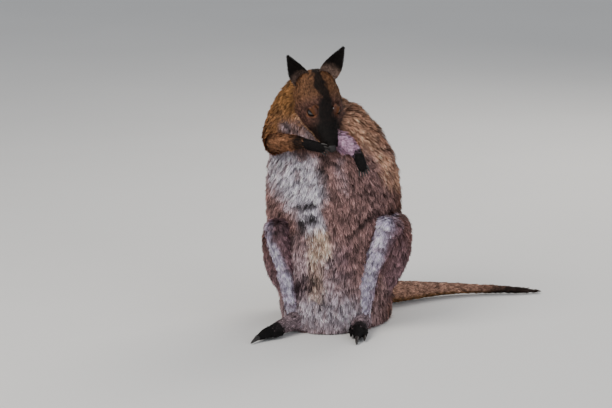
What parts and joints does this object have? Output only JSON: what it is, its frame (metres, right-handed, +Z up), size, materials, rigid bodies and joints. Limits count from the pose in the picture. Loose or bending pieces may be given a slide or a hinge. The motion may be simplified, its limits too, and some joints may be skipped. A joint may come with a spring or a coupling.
{
  "type": "sitting wallaby model",
  "caption": "Life-size model of a red-necked wallaby sitting on its haunches, head bent down to lick its raised left forearm, tail laid along the floor.",
  "frame": {"origin": "middle of the seat, where the underside of the belly rests on the floor", "axes": "+Z up. The animal's chest faces -Y, turned 18 degrees toward -X. The tail lies along the floor toward +X."},
  "size_m": [0.6016, 0.4221, 0.5606],
  "materials": {
    "coat_face": "short grizzled brown fur with a dark stripe down the face",
    "coat_neck": "rufous fur",
    "coat_ear": "short black fur with pale hair low inside",
    "coat_chest": "white and grey fur in loose locks",
    "coat_belly": "pale grey-brown fur with a cream patch",
    "coat_back": "grizzled grey-brown fur",
    "coat_shin": "white and grey fur",
    "coat_arm": "short golden-brown fur",
    "coat_foot": "short dark grey fur",
    "coat_tail": "short grizzled fur, dark at the tip",
    "paw_black": "short black fur",
    "nose_skin": "bare black pebbled skin",
    "eye_glass": "dark brown gloss",
    "claw_horn": "dark satin horn"
  },
  "bodies": {
    "root": {"head": "coat_face", "jaw": "coat_face", "neck": "coat_neck", "ear_right": "coat_ear", "ear_left": "coat_ear", "chest": "coat_chest", "belly": "coat_belly", "rump": "coat_back", "thigh_right": "coat_back", "thigh_left": "coat_back", "upper_arm_right": "coat_back", "upper_arm_left": "coat_back", "shin_right": "coat_shin", "shin_left": "coat_shin", "forearm_right": "coat_arm", "forearm_left": "coat_arm", "foot_right": "coat_foot", "foot_left": "coat_foot", "grooming_toe_right": "coat_foot", "grooming_toe_left": "coat_foot", "tail_1": "coat_tail", "tail_2": "coat_tail", "tail_3": "coat_tail", "tail_tip": "coat_tail", "paw_right": "paw_black", "paw_left": "paw_black", "toe_right": "paw_black", "toe_left": "paw_black", "side_toe_right": "paw_black", "side_toe_left": "paw_black", "nose": "nose_skin", "eye_right": "eye_glass", "eye_left": "eye_glass", "claw_right_1": "claw_horn", "claw_right_2": "claw_horn", "claw_right_3": "claw_horn", "claw_right_4": "claw_horn", "claw_right_5": "claw_horn", "claw_left_1": "claw_horn", "claw_left_2": "claw_horn", "claw_left_3": "claw_horn", "claw_left_4": "claw_horn", "claw_left_5": "claw_horn", "claw_toe_right": "claw_horn", "claw_side_toe_right": "claw_horn", "claw_toe_left": "claw_horn", "claw_side_toe_left": "claw_horn"}
  },
  "joints": []
}
